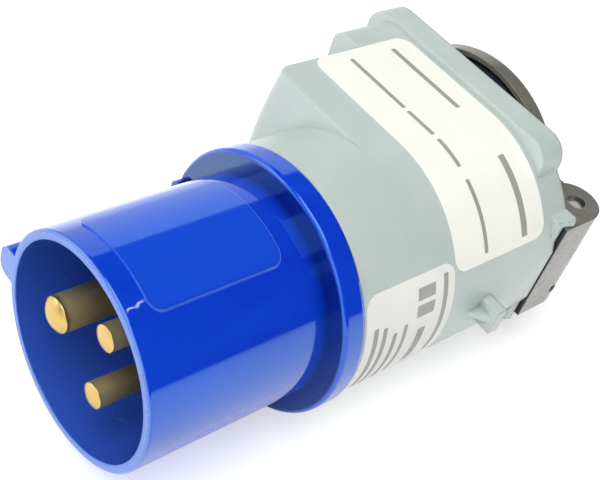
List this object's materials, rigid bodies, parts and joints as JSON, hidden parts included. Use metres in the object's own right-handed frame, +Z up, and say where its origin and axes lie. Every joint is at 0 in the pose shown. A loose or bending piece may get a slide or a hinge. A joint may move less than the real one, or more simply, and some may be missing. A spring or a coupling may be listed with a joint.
{
  "type": "plug adapter",
  "caption": "Inline plug adapter: a round pin plug with collar and key at one end, a stepped housing and a lidded round socket at the other.",
  "frame": {"origin": "under the middle of the part's bounding box, on the surface it lies on", "axes": "+X along the plug's axis from the plug's rim to the lid, +Z up, hinge on the -Y side, key and earth pin on the +Y side"},
  "size_m": [0.112, 0.068, 0.0534],
  "materials": {
    "blue_plastic": "glossy moulded",
    "grey_plastic": "satin moulded",
    "dark_plastic": "semi-gloss moulded",
    "black_plastic": "matt moulded",
    "black_rubber": "matt",
    "brass": "turned and polished",
    "tinned_brass": "tinned sheet",
    "zinc_steel": "zinc plated",
    "brown_wire": "smooth sheath",
    "blue_wire": "smooth sheath",
    "green_wire": "smooth sheath"
  },
  "bodies": {
    "adapter": {"plug_shell": "blue_plastic", "pin_carrier": "black_plastic", "earth_pin": "brass", "line_pin": "brass", "neutral_pin": "brass", "pin_screws": "zinc_steel", "carrier_ring": "black_plastic", "shell_seal": "black_rubber", "shell_screws": "zinc_steel", "housing": "grey_plastic", "socket_frame": "dark_plastic", "socket_base": "black_plastic", "base_screws": "zinc_steel", "line_contact": "brass", "neutral_contact": "brass", "contact_screws": "zinc_steel", "earth_strip": "tinned_brass", "earth_rivets": "zinc_steel", "earth_terminal_screw": "zinc_steel", "wire_line": "brown_wire", "wire_neutral": "blue_wire", "wire_earth": "green_wire", "frame_gasket": "black_rubber", "frame_screws": "zinc_steel", "hinge_pin": "zinc_steel", "lid_spring": "zinc_steel"},
    "lid": {"lid": "dark_plastic", "lid_gasket": "black_rubber"}
  },
  "joints": [
    {"name": "lid_hinge", "type": "hinge", "parent": "adapter", "child": "lid", "pos_m": [0.0508, -0.02365, 0.0267], "axis": [0, 0, -1], "range_deg": [0, 105], "stiffness_Nm_per_rad": 0.02, "springref_deg": -34.38}
  ]
}
